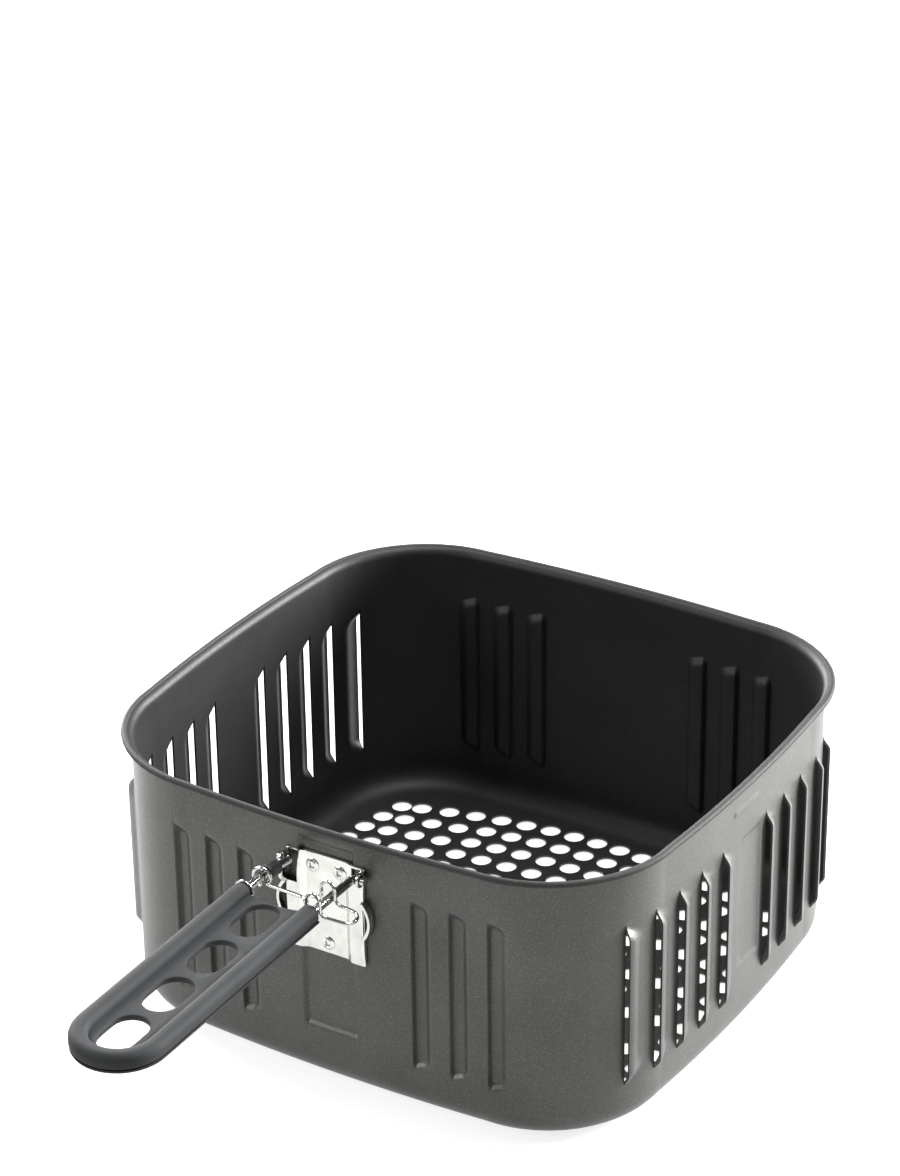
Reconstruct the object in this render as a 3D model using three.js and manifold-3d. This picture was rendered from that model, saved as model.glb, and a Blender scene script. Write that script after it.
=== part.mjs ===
// Square non-stick air fryer basket with a wire handle on a riveted bracket.
// Millimetres. X runs to the right along the front wall, Y to the back, Z up.
// The origin is the centre of the basket's underside; the handle points to -Y.

import * as THREE from "three";
import { ConvexGeometry } from "three/addons/geometries/ConvexGeometry.js";
import { mergeVertices } from "three/addons/utils/BufferGeometryUtils.js";
import Module from "manifold-3d";

const wasm = await Module();
wasm.setup();

// ---------------------------------------------------------------- basket
const SHEET = 0.8; // drawn steel
const HALF_X = 106.4; // outer face of the side walls at mid-height
const HALF_Y = 101.9; // outer face of the front and back walls
const CORNER_R = 45.4;
const WALL_BOW = 2.2; // each wall bulges outward by this at its middle
const BASKET_H = 105.4;
const FLOOR_R = 10; // fillet between floor and walls
const FLARE_START_Z = 98.5;
const FLARE_OUT = 2.2;
const BEAD_R = 1.3; // rolled rim

// louvres in the side walls
const LOUVRE_FIRST = 16.1; // from the middle of the wall, along the wall
const LOUVRE_PITCH = 14.5;
const LOUVRES_PER_GROUP = 5;
const LOUVRE_Z0 = 19.5;
const LOUVRE_Z1 = 80.5;
const LOUVRE_H = 2.8;
const LOUVRE_W = 9.5;

// blind louvres pressed into the front and back walls
const RIB_LEFT_STARTS = [-65, -51, -37];
const RIB_RIGHT_STARTS = [33.5, 48, 62.5];
const RIB_Z0 = 18.5;
const RIB_Z1 = 85;
const RIB_W = 6.5;
const RIB_DEPTH = 1.8;

// pressed seat behind the bracket
const SEAT_HALF_W = 11.3;
const SEAT_Z0 = 22;
const SEAT_Z1 = 96;
const SEAT_DEPTH = 1.2;

// perforated floor
const HOLE_R = 4;
const HOLE_PITCH = 11.2;
const HOLE_COLUMNS = 7; // on each side of the middle column
const HOLE_ROWS = 8; // on each side of the middle row

// ---------------------------------------------------------------- bracket
const GAP = 0.3; // clearance between neighbouring parts
const PLATE_T = 1;
const BRACKET_Z0 = 54.6;
const BRACKET_Z1 = 93;
const BRACKET_FLAT_HALF = 7.9;
const BRACKET_CREST_X = 10.2; // where the raised side channel starts
const BRACKET_HALF_W = 15.7;
const BRACKET_CREST_Y = -104.6;
const SLOT_X0 = 10.6;
const SLOT_Z0 = { left: 80.5, right: 87.6 };
const SLOT_Z1 = 92.3;
const EAR_Z0 = 80.4;
const EAR_Z1 = 92.6;
const EAR_FRONT_Y = -107.8;
const EAR_R = 3.1;
const STRAP_Z0 = 66;
const STRAP_Z1 = 80;
const STRAP_OUT = 3;
const STRAP_DEPTH = 1.6;
const RIVET_SPOTS = [
  ["rivet_top_left", -5.5, 88],
  ["rivet_top_right", 5.5, 88],
  ["rivet_bottom", 0, 58.5],
];
const RIVET_SHANK_R = 1.5;
const RIVET_HEAD_R = 2.3;
const RIVET_HEAD_T = 1;

// ---------------------------------------------------------------- handle
const ROD_R = 1.6;
const HOOK_Y = -104.45; // fold axis of the handle
const HOOK_Z = 89.6;
const HOOK_X = 12.7; // rod centre where it turns outward
const HOOK_TIP_X = 17.4;
const ROD_X = 13.7; // rod centre at the grip
const ROD_RISE_Y = -120;
const ROD_Z = 90.8;
const GRIP_START_Y = -131.4;
const GRIP_END_Y = -235.5;
const GRIP_DROOP = THREE.MathUtils.degToRad(1.15);
const GRIP_HALF_W = 16.8;
const RAIL_W = 6.4;
const GRIP_T = 6.8;
const COVER_T = 1.4;
const WEB_T = 2.2;
const FINGER_HOLE_COUNT = 4;
const FINGER_HOLE_PITCH = 24.4;
const FINGER_HOLE_FIRST_Y = -144.6;
const FINGER_HOLE_L = 20;
const FINGER_HOLE_W = 13;

// ---------------------------------------------------------------- clip
const CLIP_R = 0.65;
const RING_Y = -120.4;
const RING_R = 3.05;
const ARCH_Y = [-130.3, -121.4];
const ARCH_HALF_W = 2.65;
const ARCH_TOP = 6.2; // above the rod centre
const TAB_X = 27;
const CROSS_WIRE_Y = -122.6;

// ================================================================ helpers

function vec(x, y, z) {
  return new THREE.Vector3(x, y, z);
}

// Builds a closed triangle mesh from shared points and faces.
function meshFrom(points, faces) {
  const geometry = new THREE.BufferGeometry();
  const flat = points.flatMap((p) => [p.x, p.y, p.z]);
  geometry.setAttribute("position", new THREE.Float32BufferAttribute(flat, 3));
  geometry.setIndex(faces.flat());
  return geometry;
}

// Stacks closed rings of points and caps both ends with a fan.
function loft(rings) {
  const n = rings[0].length;
  const points = rings.flat();
  const faces = [];
  for (let k = 0; k + 1 < rings.length; k++) {
    for (let i = 0; i < n; i++) {
      const j = (i + 1) % n;
      const a = k * n + i;
      const b = k * n + j;
      faces.push([a, b, b + n], [a, b + n, a + n]);
    }
  }
  const centre = (ring) => ring.reduce((s, p) => s.add(p), vec(0, 0, 0)).divideScalar(n);
  const bottom = points.push(centre(rings[0])) - 1;
  const top = points.push(centre(rings[rings.length - 1])) - 1;
  const last = (rings.length - 1) * n;
  for (let i = 0; i < n; i++) {
    const j = (i + 1) % n;
    faces.push([j, i, bottom], [last + i, last + j, top]);
  }
  return meshFrom(points, faces);
}

// Stacks closed rings that join back on themselves, like the rolled rim.
function loopLoft(rings) {
  const n = rings[0].length;
  const m = rings.length;
  const faces = [];
  for (let k = 0; k < m; k++) {
    const next = ((k + 1) % m) * n;
    for (let i = 0; i < n; i++) {
      const j = (i + 1) % n;
      faces.push([k * n + j, k * n + i, next + j], [next + j, k * n + i, next + i]);
    }
  }
  return meshFrom(rings.flat(), faces);
}

function toManifold(geometry) {
  const plain = geometry.clone();
  plain.deleteAttribute("normal");
  plain.deleteAttribute("uv");
  const merged = mergeVertices(plain, 1e-4);
  return new wasm.Manifold(
    new wasm.Mesh({
      numProp: 3,
      vertProperties: new Float32Array(merged.attributes.position.array),
      triVerts: new Uint32Array(merged.index.array),
    }),
  );
}

function toGeometry(manifold) {
  const out = manifold.getMesh();
  const geometry = new THREE.BufferGeometry();
  geometry.setAttribute("position", new THREE.BufferAttribute(out.vertProperties, 3));
  geometry.setIndex(new THREE.BufferAttribute(out.triVerts, 1));
  geometry.computeVertexNormals();
  return geometry;
}

function hull(points) {
  return toManifold(new ConvexGeometry(points));
}

function union(list) {
  return list.reduce((sum, item) => sum.add(item));
}

function box(x0, x1, y0, y1, z0, z1) {
  const geometry = new THREE.BoxGeometry(x1 - x0, y1 - y0, z1 - z0);
  geometry.translate((x0 + x1) / 2, (y0 + y1) / 2, (z0 + z1) / 2);
  return toManifold(geometry);
}

// Round bar along Y, for holes, bushes and washers.
function barY(radius, y0, y1, x, z, sides = 16) {
  const geometry = new THREE.CylinderGeometry(radius, radius, y1 - y0, sides);
  geometry.translate(x, (y0 + y1) / 2, 0);
  return toManifold(geometry).translate(0, 0, z);
}

function barX(radius, x0, x1, y, z, sides = 16) {
  const geometry = new THREE.CylinderGeometry(radius, radius, x1 - x0, sides);
  geometry.rotateZ(Math.PI / 2);
  geometry.translate((x0 + x1) / 2, y, z);
  return toManifold(geometry);
}

// Round wire along a polyline whose inner corners are rounded.
function wire(corners, radius, bend, sides = 8, steps = 3) {
  const path = [corners[0]];
  for (let i = 1; i + 1 < corners.length; i++) {
    const corner = corners[i];
    const back = corners[i - 1].clone().sub(corner);
    const ahead = corners[i + 1].clone().sub(corner);
    const reach = Math.min(bend, back.length() * 0.49, ahead.length() * 0.49);
    const from = corner.clone().add(back.setLength(reach));
    const to = corner.clone().add(ahead.setLength(reach));
    for (let k = 0; k <= steps; k++) {
      const t = k / steps;
      const a = from.clone().lerp(corner, t);
      const b = corner.clone().lerp(to, t);
      path.push(a.lerp(b, t));
    }
  }
  path.push(corners[corners.length - 1]);
  return sweep(path, radius, sides);
}

function sweep(path, radius, sides) {
  const rings = [];
  let side = null;
  for (let i = 0; i < path.length; i++) {
    const before = path[Math.max(i - 1, 0)];
    const after = path[Math.min(i + 1, path.length - 1)];
    const along = after.clone().sub(before).normalize();
    if (side === null) {
      side = Math.abs(along.z) < 0.9 ? vec(0, 0, 1) : vec(1, 0, 0);
    }
    side = side.clone().addScaledVector(along, -side.dot(along)).normalize();
    const up = along.clone().cross(side);
    const ring = [];
    for (let k = 0; k < sides; k++) {
      const angle = (2 * Math.PI * k) / sides;
      const p = path[i].clone();
      p.addScaledVector(side, radius * Math.cos(angle));
      p.addScaledVector(up, radius * Math.sin(angle));
      ring.push(p);
    }
    rings.push(ring);
  }
  return loft(rings);
}

function finish(name, manifold, colour, roughness, metalness) {
  const material = new THREE.MeshStandardMaterial({ color: colour, roughness, metalness });
  const mesh = new THREE.Mesh(toGeometry(manifold), material);
  mesh.name = name;
  return mesh;
}

const NONSTICK = ["#4a4947", 0.45, 0.3];
const CHROME = ["#d8d8d6", 0.15, 1];
const PLASTIC = ["#47484a", 0.5, 0];
const RUBBER = ["#1d1d1f", 0.6, 0];

// ================================================================ basket

// Point and outward direction on a wall line moved inward by `inset`.
// `wall` counts 0 right, 1 back, 2 left, 3 front; `s` runs counter-clockwise
// along the wall from its middle and may run on into the rounded corner.
function onWall(wall, s, inset) {
  const half = wall % 2 === 0 ? HALF_X : HALF_Y;
  const run = (wall % 2 === 0 ? HALF_Y : HALF_X) - WALL_BOW - CORNER_R;
  const r = CORNER_R - inset;
  let u;
  let v;
  let turn = 0;
  if (Math.abs(s) <= run) {
    u = half - inset - WALL_BOW * (s / run) ** 2;
    v = s;
  } else {
    turn = (Math.sign(s) * (Math.abs(s) - run)) / CORNER_R;
    u = half - WALL_BOW - CORNER_R + r * Math.cos(turn);
    v = Math.sign(s) * run + r * Math.sin(turn);
  }
  const face = (wall * Math.PI) / 2;
  const point = vec(u * Math.cos(face) - v * Math.sin(face), u * Math.sin(face) + v * Math.cos(face), 0);
  const bow = Math.abs(s) <= run ? (2 * WALL_BOW * s) / run ** 2 : turn;
  return { point, angle: face + bow };
}

// Closed outline of the basket, the same number of points at every inset.
function outline(inset, z) {
  const ring = [];
  const flats = 6;
  const arcs = 6;
  for (let wall = 0; wall < 4; wall++) {
    const run = (wall % 2 === 0 ? HALF_Y : HALF_X) - WALL_BOW - CORNER_R;
    for (let k = 0; k < flats; k++) {
      ring.push(onWall(wall, -run + (2 * run * k) / flats, inset).point.setZ(z));
    }
    for (let k = 0; k < arcs; k++) {
      const s = run + (CORNER_R * (Math.PI / 2) * k) / arcs;
      ring.push(onWall(wall, s, inset).point.setZ(z));
    }
  }
  return ring;
}

// Body bounded by the basket's outer face moved inward by `skin`.
function basketBody(skin, top) {
  const rings = [];
  for (const degrees of [0, 30, 60, 90]) {
    const t = THREE.MathUtils.degToRad(degrees);
    const r = FLOOR_R - skin;
    rings.push(outline(FLOOR_R - r * Math.sin(t), FLOOR_R - r * Math.cos(t)));
  }
  rings.push(outline(skin, FLARE_START_Z));
  rings.push(outline(skin - 0.35 * FLARE_OUT, FLARE_START_Z + 1.6));
  rings.push(outline(skin - FLARE_OUT, FLARE_START_Z + 4));
  rings.push(outline(skin - FLARE_OUT, top));
  return toManifold(loft(rings));
}

function rimBead() {
  const sections = [];
  const sides = 8;
  for (let k = 0; k < sides; k++) {
    const a = (2 * Math.PI * (k + 0.5)) / sides;
    const reach = BEAD_R / Math.cos(Math.PI / sides);
    const inset = -(FLARE_OUT + 0.1) + reach * Math.cos(a);
    sections.push(outline(inset, BASKET_H - BEAD_R + reach * Math.sin(a)));
  }
  return toManifold(loopLoft(sections));
}

// Places points given as (along the wall, out of the wall, up) on a wall.
function place(wall, s, local) {
  const { point, angle } = onWall(wall, s, 0);
  const out = vec(Math.cos(angle), Math.sin(angle), 0);
  const along = vec(-Math.sin(angle), Math.cos(angle), 0);
  return local.map(([a, n, z]) => point.clone().addScaledVector(along, a).addScaledVector(out, n).setZ(z));
}

// Raised hood of a louvre: open on its first edge, sloping back to the wall.
function louvreHood(wall, s) {
  const outer = [
    [0, -0.4, LOUVRE_Z0 - 2],
    [0, LOUVRE_H, LOUVRE_Z0 + 5],
    [0, LOUVRE_H, LOUVRE_Z1 - 5],
    [0, -0.4, LOUVRE_Z1 + 2],
    [LOUVRE_W, -0.4, LOUVRE_Z0 + 4],
    [LOUVRE_W, -0.4, LOUVRE_Z1 - 4],
  ];
  return hull(place(wall, s, outer));
}

function louvreOpening(wall, s) {
  const skin = SHEET * 1.05;
  const wide = LOUVRE_W * 1.12;
  const inner = [
    [-0.2, -1.3, LOUVRE_Z0],
    [-0.2, LOUVRE_H - skin, LOUVRE_Z0 + 5.4],
    [-0.2, LOUVRE_H - skin, LOUVRE_Z1 - 5.4],
    [-0.2, -1.3, LOUVRE_Z1],
    [wide, -1.3, LOUVRE_Z0 + 4],
    [wide, -1.3, LOUVRE_Z1 - 4],
  ];
  return hull(place(wall, s, inner));
}

// Blind louvre pressed inward: steep first edge, soft second edge.
function ribPress(wall, s, skin) {
  const depth = RIB_DEPTH + skin;
  const grow = skin > 0 ? skin : 0;
  const face = skin > 0 ? -SHEET / 2 : 0.5;
  return hull(
    place(wall, s, [
      [-grow - 0.2, face, RIB_Z0 - grow],
      [0.4 - grow, -depth, RIB_Z0 + 6],
      [0.4 - grow, -depth, RIB_Z1 - 6],
      [-grow - 0.2, face, RIB_Z1 + grow],
      [RIB_W + grow, face, RIB_Z0 + 3 - grow],
      [3, -depth, RIB_Z0 + 6],
      [3, -depth, RIB_Z1 - 6],
      [RIB_W + grow, face, RIB_Z1 - 3 + grow],
    ]),
  );
}

function seatPress(skin) {
  const depth = SEAT_DEPTH + skin;
  const face = skin > 0 ? -SHEET / 2 : 0.5;
  const w = SEAT_HALF_W;
  const slope = 1.2 - skin;
  return hull(
    place(3, 0, [
      [-w - skin, face, SEAT_Z0 - skin],
      [w + skin, face, SEAT_Z0 - skin],
      [-w - skin, face, SEAT_Z1 + skin],
      [w + skin, face, SEAT_Z1 + skin],
      [-w + slope, -depth, SEAT_Z0 + slope],
      [w - slope, -depth, SEAT_Z0 + slope],
      [-w + slope, -depth, SEAT_Z1 - slope],
      [w - slope, -depth, SEAT_Z1 - slope],
    ]),
  );
}

// Holes follow the basket's own bowed outline.
function floorHoleSpots() {
  const spots = [];
  for (let i = -HOLE_COLUMNS; i <= HOLE_COLUMNS; i++) {
    const reach = 85.3 - 11.8 * (i / HOLE_COLUMNS) ** 2;
    const rows = Math.abs(i) > 4 ? HOLE_ROWS - 1 : HOLE_ROWS;
    for (let j = -rows; j <= rows; j++) {
      const y = (reach * j) / rows;
      spots.push([HOLE_PITCH * i * (1 - 0.085 * (y / 80) ** 2), y]);
    }
  }
  for (const side of [-1, 1]) {
    for (let j = -7; j <= 7; j++) {
      const y = (71 * j) / 7;
      spots.push([side * (89.5 - 9.5 * (y / 73) ** 2), y]);
    }
  }
  return spots.filter(([x, y]) => Math.hypot(x, y) > 1);
}

function floorHoles() {
  const sides = 4;
  const cuts = floorHoleSpots().map(([x, y]) => {
    const geometry = new THREE.CylinderGeometry(HOLE_R * 1.1, HOLE_R * 1.1, 3, sides);
    geometry.rotateX(Math.PI / 2);
    geometry.translate(x, y, 0.4);
    return toManifold(geometry);
  });
  return wasm.Manifold.compose(cuts);
}

function rivetHoles() {
  return union(RIVET_SPOTS.map(([, x, z]) => barY(RIVET_SHANK_R + 0.2, -104, -98, x, z, 10)));
}

function basketShell() {
  let shell = basketBody(0, BASKET_H - BEAD_R);
  const inside = basketBody(SHEET, BASKET_H + 1);
  const spots = [];
  for (const wall of [0, 2]) {
    for (let k = 0; k < LOUVRES_PER_GROUP; k++) {
      const s = LOUVRE_FIRST + k * LOUVRE_PITCH;
      spots.push([wall, s], [wall, -s]);
    }
  }
  const hoods = union(spots.map(([wall, s]) => louvreHood(wall, s)));
  const openings = union(spots.map(([wall, s]) => louvreOpening(wall, s)));
  const ribs = [1, 3].flatMap((wall) => [...RIB_LEFT_STARTS, ...RIB_RIGHT_STARTS].map((s) => [wall, s]));
  const ribBacks = union(ribs.map(([wall, s]) => ribPress(wall, s, SHEET)));
  const ribCuts = union(ribs.map(([wall, s]) => ribPress(wall, s, 0)));
  shell = shell.add(rimBead()).add(hoods).subtract(inside);
  shell = shell.add(ribBacks).add(seatPress(SHEET)).subtract(openings);
  return shell.subtract(ribCuts).subtract(seatPress(0)).subtract(floorHoles()).subtract(rivetHoles());
}

// ================================================================ bracket

const SEAT_Y = -HALF_Y + SEAT_DEPTH; // floor of the pressed seat
const PLATE_BACK_Y = SEAT_Y - GAP;
const PLATE_FACE_Y = PLATE_BACK_Y - PLATE_T;

// Plan section of the bracket: flat middle, raised channels, returned edges.
function bracketSection() {
  const t = PLATE_T;
  const half = [
    [BRACKET_FLAT_HALF, PLATE_FACE_Y],
    [BRACKET_CREST_X, BRACKET_CREST_Y],
    [BRACKET_HALF_W, BRACKET_CREST_Y],
    [BRACKET_HALF_W, -HALF_Y - GAP],
    [BRACKET_HALF_W - t, -HALF_Y - GAP],
    [BRACKET_HALF_W - t, BRACKET_CREST_Y + t],
    [BRACKET_CREST_X + 0.45 * t, BRACKET_CREST_Y + t],
    [BRACKET_FLAT_HALF + 0.45 * t, PLATE_BACK_Y],
  ];
  return [...half, ...half.slice().reverse().map(([x, y]) => [-x, y])];
}

function extrudeUp(section, z0, z1) {
  const shape = new THREE.Shape(section.map(([x, y]) => new THREE.Vector2(x, y)));
  const geometry = new THREE.ExtrudeGeometry(shape, { depth: z1 - z0, bevelEnabled: false });
  geometry.translate(0, 0, z0);
  return toManifold(geometry);
}

// Strip of a side wall bulged outward between its two ends.
function sideStrap(side) {
  const strip = (out, z) => {
    const x0 = side * (BRACKET_HALF_W - 0.2 + out);
    const x1 = side * (BRACKET_HALF_W + out - 1);
    const front = BRACKET_CREST_Y;
    const back = BRACKET_CREST_Y + STRAP_DEPTH;
    return [vec(x0, front, z), vec(x0, back, z), vec(x1, back, z), vec(x1, front, z)];
  };
  const middle = (STRAP_Z0 + STRAP_Z1) / 2;
  const steps = [
    [0, STRAP_Z0],
    [STRAP_OUT, middle - 2],
    [STRAP_OUT, middle + 2],
    [0, STRAP_Z1],
  ];
  const parts = [];
  for (let i = 0; i + 1 < steps.length; i++) {
    parts.push(hull([...strip(...steps[i]), ...strip(...steps[i + 1])]));
  }
  return union(parts);
}

// Ear around the hook hole, a little proud of the raised channel.
function ear(side) {
  const x = side * (BRACKET_HALF_W - PLATE_T / 2);
  const points = [];
  for (const z of [EAR_Z0 + EAR_R, EAR_Z1 - EAR_R]) {
    for (let k = 0; k < 12; k++) {
      const a = (Math.PI * k) / 6;
      const y = EAR_FRONT_Y + EAR_R + EAR_R * Math.cos(a);
      for (const face of [x - PLATE_T / 2, x + PLATE_T / 2]) {
        points.push(vec(face, y, z + EAR_R * Math.sin(a)));
      }
    }
  }
  return hull(points).subtract(box(x - 2, x + 2, -HALF_Y - GAP, -90, 70, 100));
}

function bracket() {
  const wall = BRACKET_HALF_W;
  let plate = extrudeUp(bracketSection(), BRACKET_Z0, BRACKET_Z1);
  for (const side of [-1, 1]) {
    const slotZ0 = side < 0 ? SLOT_Z0.left : SLOT_Z0.right;
    const xs = [side * SLOT_X0, side * (wall - PLATE_T - 0.05)].sort((a, b) => a - b);
    const ws = [side * (wall - PLATE_T - 0.2), side * (wall + 0.4)].sort((a, b) => a - b);
    plate = plate.subtract(box(xs[0], xs[1], -108, BRACKET_CREST_Y + 1.2, slotZ0, SLOT_Z1));
    const strapBack = BRACKET_CREST_Y + STRAP_DEPTH + 0.1;
    plate = plate.subtract(box(ws[0], ws[1], BRACKET_CREST_Y - 1, strapBack, STRAP_Z0 + 0.6, STRAP_Z1 - 0.6));
    plate = plate.add(ear(side)).add(sideStrap(side));
    plate = plate.subtract(barX(ROD_R + GAP, ws[0] - 1, ws[1] + 1, HOOK_Y, HOOK_Z, 16));
  }
  const holes = RIVET_SPOTS.map(([, x, z]) => barY(RIVET_SHANK_R + 0.2, -104, -98, x, z, 10));
  return plate.subtract(union(holes));
}

function rivet(x, z) {
  const front = PLATE_FACE_Y - GAP;
  const back = SEAT_Y + SHEET + GAP;
  const head = barY(RIVET_HEAD_R, front - RIVET_HEAD_T, front, x, z, 16);
  const shank = barY(RIVET_SHANK_R, front - 0.1, back + 0.1, x, z, 10);
  const tail = barY(RIVET_HEAD_R - 0.3, back, back + RIVET_HEAD_T * 0.8, x, z, 16);
  const dimple = barY(1, front - RIVET_HEAD_T - 0.1, front - RIVET_HEAD_T + 0.5, x, z, 10);
  return head.add(shank).add(tail).subtract(dimple);
}

// ================================================================ handle

// Lowers a point of the straight grip by the grip's slight droop.
function droop(p) {
  const dy = p.y - GRIP_START_Y;
  const y = GRIP_START_Y + dy * Math.cos(GRIP_DROOP);
  return vec(p.x, y, p.z + dy * Math.sin(GRIP_DROOP));
}

function tilt(manifold) {
  const degrees = THREE.MathUtils.radToDeg(GRIP_DROOP);
  return manifold.translate(0, -GRIP_START_Y, -ROD_Z).rotate(degrees, 0, 0).translate(0, GRIP_START_Y, ROD_Z);
}

const ROD_END_Y = GRIP_END_Y + RAIL_W / 2;

function handleCorners() {
  const right = [
    vec(HOOK_TIP_X, HOOK_Y, HOOK_Z),
    vec(HOOK_X, HOOK_Y, HOOK_Z),
    vec(ROD_X, ROD_RISE_Y, ROD_Z),
    droop(vec(ROD_X, GRIP_START_Y, ROD_Z)),
    droop(vec(ROD_X, ROD_END_Y + 11, ROD_Z)),
    droop(vec(ROD_X - 5, ROD_END_Y + 2, ROD_Z)),
    droop(vec(ROD_X - 10, ROD_END_Y, ROD_Z)),
  ];
  return [...right, ...right.slice().reverse().map((p) => vec(-p.x, p.y, p.z))];
}

function gripPlan(inset, y0) {
  const r = GRIP_HALF_W - inset;
  const cy = GRIP_END_Y + GRIP_HALF_W;
  const shape = new THREE.Shape();
  shape.moveTo(r, y0);
  shape.lineTo(-r, y0);
  shape.lineTo(-r, cy);
  shape.absarc(0, cy, r, Math.PI, 2 * Math.PI, false);
  shape.lineTo(r, y0);
  return shape;
}

function slab(shape, z0, z1, segments = 6) {
  const options = { depth: z1 - z0, bevelEnabled: false, curveSegments: segments };
  const geometry = new THREE.ExtrudeGeometry(shape, options);
  geometry.translate(0, 0, z0);
  return toManifold(geometry);
}

function fingerHoles(z0, z1) {
  const holes = [];
  for (let k = 0; k < FINGER_HOLE_COUNT; k++) {
    const y = FINGER_HOLE_FIRST_Y - k * FINGER_HOLE_PITCH;
    const r = FINGER_HOLE_W / 2;
    const straight = FINGER_HOLE_L / 2 - r;
    const shape = new THREE.Shape();
    shape.moveTo(r, y - straight);
    shape.lineTo(r, y + straight);
    shape.absarc(0, y + straight, r, 0, Math.PI, false);
    shape.lineTo(-r, y - straight);
    shape.absarc(0, y - straight, r, Math.PI, 2 * Math.PI, false);
    holes.push(slab(shape, z0, z1, 4));
  }
  return union(holes);
}

// Outer form of the grip with softened top and bottom edges.
function gripForm() {
  const low = ROD_Z - GRIP_T / 2;
  const high = ROD_Z + GRIP_T / 2;
  const middle = slab(gripPlan(0, GRIP_START_Y), low + 1.8, high - 1.8);
  const rise = (z0, z1, soft) => slab(gripPlan(soft, GRIP_START_Y), z0, z1);
  return union([middle, rise(low + 0.7, high - 0.7, 0.6), rise(low, high, 1.8)]);
}

function gripBody() {
  const low = ROD_Z - GRIP_T / 2;
  const high = ROD_Z + GRIP_T / 2;
  const pocket = gripPlan(RAIL_W, GRIP_START_Y + 5);
  const webTop = ROD_Z + 0.3;
  let body = gripForm();
  body = body.subtract(slab(pocket, webTop, high + 1));
  body = body.subtract(slab(pocket, low - 1, webTop - WEB_T));
  body = body.subtract(box(-30, 30, -250, -120, low - 1, low + COVER_T));
  body = body.subtract(fingerHoles(low - 1, high + 1));
  return tilt(body).subtract(rodChannel());
}

function gripCover() {
  const low = ROD_Z - GRIP_T / 2;
  const pocket = gripPlan(RAIL_W, GRIP_START_Y + 5);
  const top = low + COVER_T - GAP;
  const trimmed = gripForm().subtract(box(-30, 30, -250, -120, top, top + 20));
  return tilt(trimmed.subtract(slab(pocket, low - 1, top + 1)));
}

// Groove that holds the steel wire, open toward the cover.
function rodChannel() {
  const around = toManifold(wire(handleCorners(), ROD_R + GAP, 4, 8, 3));
  const lower = around.translate(0, 0, -1.33);
  return around.add(lower);
}

// ================================================================ clip

function clipCorners() {
  const left = -ROD_X + 0.1;
  const rod = ROD_X;
  const top = ROD_Z + ARCH_TOP;
  const level = ROD_Z - 1;
  const ring = [];
  const turns = 14;
  for (let k = 0; k <= turns; k++) {
    const a = (2 * Math.PI * 0.93 * k) / turns - Math.PI * 0.35;
    const y = RING_Y - 0.9 + (1.9 * (turns - k)) / turns;
    ring.push(vec(left + RING_R * Math.cos(a), y, ROD_Z + RING_R * Math.sin(a)));
  }
  ring.reverse();
  const [near, far] = ARCH_Y;
  return [
    ...ring,
    vec(left + 3.6, CROSS_WIRE_Y, level),
    vec(5.5, CROSS_WIRE_Y - 0.6, level),
    vec(rod - ARCH_HALF_W, near, level + 1),
    vec(rod - ARCH_HALF_W, near, top - 1),
    vec(rod, near, top + 1.2),
    vec(rod + ARCH_HALF_W, near, top - 1),
    vec(rod + ARCH_HALF_W, near, level),
    vec(TAB_X, near + 0.9, level - 0.4),
    vec(TAB_X + 0.8, (near + far) / 2 + 0.6, level - 0.4),
    vec(TAB_X - 2, far - 0.4, level - 0.4),
    vec(rod + ARCH_HALF_W, far, level),
    vec(rod + ARCH_HALF_W, far, top - 1),
    vec(rod, far, top + 1.2),
    vec(rod - ARCH_HALF_W, far, top - 1),
    vec(rod - ARCH_HALF_W, far, level + 1),
    vec(rod - ARCH_HALF_W - 4, far, level),
  ];
}

// ================================================================ assembly

const group = new THREE.Group();
group.name = "air_fryer_basket";

group.add(finish("basket_shell", basketShell(), ...NONSTICK));
group.add(finish("handle_bracket", bracket(), ...CHROME));
for (const [name, x, z] of RIVET_SPOTS) {
  group.add(finish(name, rivet(x, z), ...CHROME));
}
group.add(finish("handle_wire", toManifold(wire(handleCorners(), ROD_R, 4, 10, 3)), ...CHROME));
group.add(finish("grip_body", gripBody(), ...PLASTIC));
group.add(finish("grip_cover", gripCover(), ...PLASTIC));

const collarX = -ROD_X;
const collar = barY(3.7, GRIP_START_Y + GAP, GRIP_START_Y + GAP + 1, collarX, ROD_Z, 20);
const collarBore = barY(ROD_R + GAP, -140, -120, collarX, ROD_Z, 16);
group.add(finish("rod_collar", collar.subtract(collarBore), ...CHROME));

const bushCut = toManifold(wire(handleCorners(), ROD_R + GAP, 4, 10, 3));
const bush = barY(2.6, -118, -112.2, -13.4, 90.45, 16).subtract(bushCut);
group.add(finish("rod_bush", bush, ...RUBBER));

group.add(finish("latch_clip", toManifold(wire(clipCorners(), CLIP_R, 2.2, 6, 2)), ...CHROME));

export default group;
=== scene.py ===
import math

import bmesh
import bpy
from mathutils import Matrix, Vector


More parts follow.
